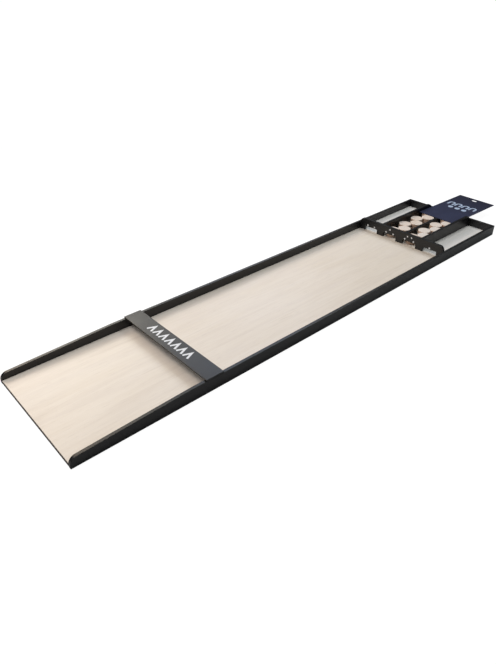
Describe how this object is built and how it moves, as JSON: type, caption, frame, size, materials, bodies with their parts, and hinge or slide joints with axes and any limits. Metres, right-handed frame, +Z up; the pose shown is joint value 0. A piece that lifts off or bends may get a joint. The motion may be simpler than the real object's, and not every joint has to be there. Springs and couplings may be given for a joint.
{
  "type": "shuffleboard table",
  "caption": "Long low trough with a starting bar, a gate of arches, scoring lanes, loose discs and a rules card, for sliding discs by hand.",
  "frame": {"origin": "on the resting plane, under the middle of the whole object with its card", "axes": "+Y along the table from the player's end to the back, +X to the player's right, +Z up"},
  "size_m": [0.4285, 2.2243, 0.0622],
  "materials": {
    "black_board": "black painted board, satin",
    "grey_bar": "dark grey painted board, satin",
    "oak_laminate": "pale oak laminate, smooth",
    "dark_edging": "dark brown edging strip",
    "beech": "pale turned beech",
    "navy_card": "navy printed card, coated"
  },
  "bodies": {
    "board": {"playing_panel": "oak_laminate", "panel_front_edging": "dark_edging", "side_rail_left": "black_board", "side_rail_right": "black_board", "back_board": "black_board", "starting_bar": "grey_bar", "gate_board": "black_board", "divider_left": "black_board", "divider_centre": "black_board", "divider_right": "black_board", "disc_left_06_lower": "beech", "disc_left_06_upper": "beech", "disc_left_07_lower": "beech", "disc_left_07_upper": "beech", "disc_left_08_lower": "beech", "disc_right_06_lower": "beech", "disc_right_06_upper": "beech", "disc_right_07_lower": "beech", "disc_right_07_upper": "beech", "disc_right_08_lower": "beech"},
    "disc_left_01_lower": {"disc_left_01_lower": "beech"},
    "disc_left_01_upper": {"disc_left_01_upper": "beech"},
    "disc_left_02_lower": {"disc_left_02_lower": "beech"},
    "disc_left_02_upper": {"disc_left_02_upper": "beech"},
    "disc_left_03_lower": {"disc_left_03_lower": "beech"},
    "disc_left_03_upper": {"disc_left_03_upper": "beech"},
    "disc_left_04_lower": {"disc_left_04_lower": "beech"},
    "disc_left_04_upper": {"disc_left_04_upper": "beech"},
    "disc_left_05_lower": {"disc_left_05_lower": "beech"},
    "disc_left_05_upper": {"disc_left_05_upper": "beech"},
    "disc_right_01_lower": {"disc_right_01_lower": "beech"},
    "disc_right_01_upper": {"disc_right_01_upper": "beech"},
    "disc_right_02_lower": {"disc_right_02_lower": "beech"},
    "disc_right_02_upper": {"disc_right_02_upper": "beech"},
    "disc_right_03_lower": {"disc_right_03_lower": "beech"},
    "disc_right_03_upper": {"disc_right_03_upper": "beech"},
    "disc_right_04_lower": {"disc_right_04_lower": "beech"},
    "disc_right_04_upper": {"disc_right_04_upper": "beech"},
    "disc_right_05_lower": {"disc_right_05_lower": "beech"},
    "disc_right_05_upper": {"disc_right_05_upper": "beech"},
    "rules_card": {"rules_card": "navy_card"}
  },
  "joints": [
    {"name": "lift_left_01_lower", "type": "slide", "parent": "board", "child": "disc_left_01_lower", "axis": [0, 0, 1], "range_m": [0, 0.06]},
    {"name": "lift_left_01_upper", "type": "slide", "parent": "disc_left_01_lower", "child": "disc_left_01_upper", "axis": [0, 0, 1], "range_m": [0, 0.06]},
    {"name": "lift_left_02_lower", "type": "slide", "parent": "board", "child": "disc_left_02_lower", "axis": [0, 0, 1], "range_m": [0, 0.06]},
    {"name": "lift_left_02_upper", "type": "slide", "parent": "disc_left_02_lower", "child": "disc_left_02_upper", "axis": [0, 0, 1], "range_m": [0, 0.06]},
    {"name": "lift_left_03_lower", "type": "slide", "parent": "board", "child": "disc_left_03_lower", "axis": [0, 0, 1], "range_m": [0, 0.06]},
    {"name": "lift_left_03_upper", "type": "slide", "parent": "disc_left_03_lower", "child": "disc_left_03_upper", "axis": [0, 0, 1], "range_m": [0, 0.06]},
    {"name": "lift_left_04_lower", "type": "slide", "parent": "board", "child": "disc_left_04_lower", "axis": [0, 0, 1], "range_m": [0, 0.06]},
    {"name": "lift_left_04_upper", "type": "slide", "parent": "disc_left_04_lower", "child": "disc_left_04_upper", "axis": [0, 0, 1], "range_m": [0, 0.06]},
    {"name": "lift_left_05_lower", "type": "slide", "parent": "board", "child": "disc_left_05_lower", "axis": [0, 0, 1], "range_m": [0, 0.06]},
    {"name": "lift_left_05_upper", "type": "slide", "parent": "disc_left_05_lower", "child": "disc_left_05_upper", "axis": [0, 0, 1], "range_m": [0, 0.06]},
    {"name": "lift_right_01_lower", "type": "slide", "parent": "board", "child": "disc_right_01_lower", "axis": [0, 0, 1], "range_m": [0, 0.06]},
    {"name": "lift_right_01_upper", "type": "slide", "parent": "disc_right_01_lower", "child": "disc_right_01_upper", "axis": [0, 0, 1], "range_m": [0, 0.06]},
    {"name": "lift_right_02_lower", "type": "slide", "parent": "board", "child": "disc_right_02_lower", "axis": [0, 0, 1], "range_m": [0, 0.06]},
    {"name": "lift_right_02_upper", "type": "slide", "parent": "disc_right_02_lower", "child": "disc_right_02_upper", "axis": [0, 0, 1], "range_m": [0, 0.06]},
    {"name": "lift_right_03_lower", "type": "slide", "parent": "board", "child": "disc_right_03_lower", "axis": [0, 0, 1], "range_m": [0, 0.06]},
    {"name": "lift_right_03_upper", "type": "slide", "parent": "disc_right_03_lower", "child": "disc_right_03_upper", "axis": [0, 0, 1], "range_m": [0, 0.06]},
    {"name": "lift_right_04_lower", "type": "slide", "parent": "board", "child": "disc_right_04_lower", "axis": [0, 0, 1], "range_m": [0, 0.06]},
    {"name": "lift_right_04_upper", "type": "slide", "parent": "disc_right_04_lower", "child": "disc_right_04_upper", "axis": [0, 0, 1], "range_m": [0, 0.06]},
    {"name": "lift_right_05_lower", "type": "slide", "parent": "board", "child": "disc_right_05_lower", "axis": [0, 0, 1], "range_m": [0, 0.06]},
    {"name": "lift_right_05_upper", "type": "slide", "parent": "disc_right_05_lower", "child": "disc_right_05_upper", "axis": [0, 0, 1], "range_m": [0, 0.06]},
    {"name": "lift_rules_card", "type": "slide", "parent": "board", "child": "rules_card", "axis": [0, 0, 1], "range_m": [0, 0.06]}
  ]
}
